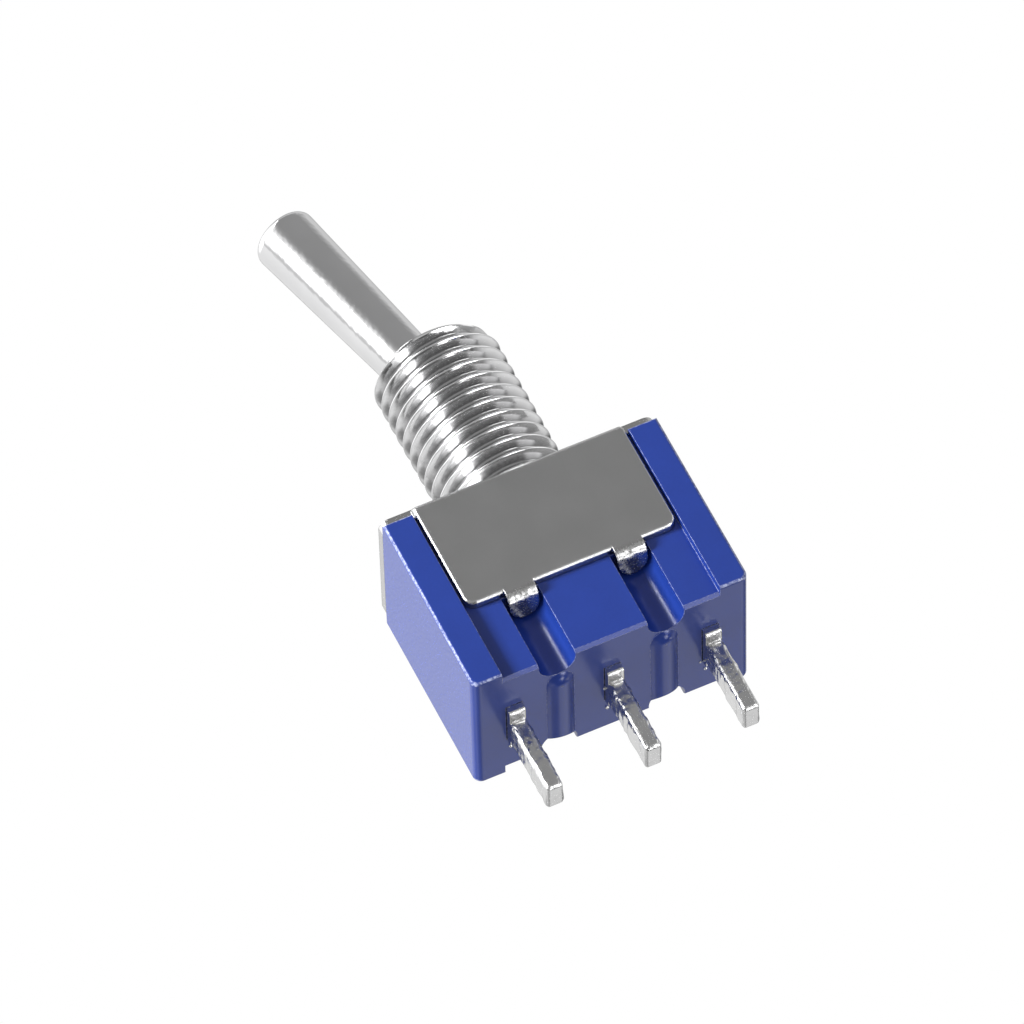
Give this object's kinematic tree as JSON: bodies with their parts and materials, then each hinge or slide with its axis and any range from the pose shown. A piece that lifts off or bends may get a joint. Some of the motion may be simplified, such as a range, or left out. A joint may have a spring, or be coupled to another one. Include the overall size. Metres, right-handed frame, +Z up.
{
  "type": "panel toggle switch",
  "caption": "Miniature panel toggle switch: blue moulded body in a folded metal frame, threaded bushing, tilting bat lever, rocking contact blade and flat pins for a circuit board.",
  "frame": {"origin": "centre of the bushing at the panel mounting face, which is the top of the frame's plate", "axes": "+Z up the bushing towards the lever, X along the row of pins with the rest throw towards -X, -Y the front"},
  "size_m": [0.0132, 0.0078, 0.0325],
  "materials": {
    "nickel_frame": "nickel-plated folded steel sheet, satin to bright",
    "nickel_bushing": "nickel-plated turned brass, bright",
    "blue_moulding": "blue glass-filled moulding, semi-gloss",
    "tinned_terminal": "tin-plated stamped brass, dull bright",
    "silver_contact": "silver-faced contact rivet",
    "chrome_lever": "chrome-plated turned brass, mirror bright",
    "spring_wire": "drawn spring wire",
    "white_nylon": "natural nylon",
    "spring_bronze": "rolled phosphor bronze strip"
  },
  "bodies": {
    "switch_body": {"frame": "nickel_frame", "bushing": "nickel_bushing", "housing": "blue_moulding", "terminal_left": "tinned_terminal", "terminal_common": "tinned_terminal", "terminal_right": "tinned_terminal", "end_contact_left": "silver_contact", "end_contact_right": "silver_contact"},
    "lever": {"lever": "chrome_lever", "plunger_spring": "spring_wire"},
    "plunger": {"plunger": "white_nylon"},
    "rocker": {"rocker_blade": "spring_bronze", "rocker_contact_left": "silver_contact", "rocker_contact_right": "silver_contact"}
  },
  "joints": [
    {"name": "lever_tilt", "type": "hinge", "parent": "switch_body", "child": "lever", "pos_m": [0, 0, 0.0057], "axis": [0, 1, 0], "range_deg": [0, 28]},
    {"name": "rocker_tilt", "type": "hinge", "parent": "switch_body", "child": "rocker", "pos_m": [0, 0, -0.0052], "axis": [0, 1, 0], "range_deg": [-16, 0]},
    {"name": "plunger_slide", "type": "slide", "parent": "lever", "child": "plunger", "axis": [-0.2419, 0, 0.9703], "range_m": [0, 0.0004], "stiffness_N_per_m": 150, "springref_m": -0.003, "deforming": ["plunger_spring"]}
  ],
  "couplings": [
    {"joint": "rocker_tilt", "follows": "lever_tilt", "ratio": -0.5714}
  ]
}
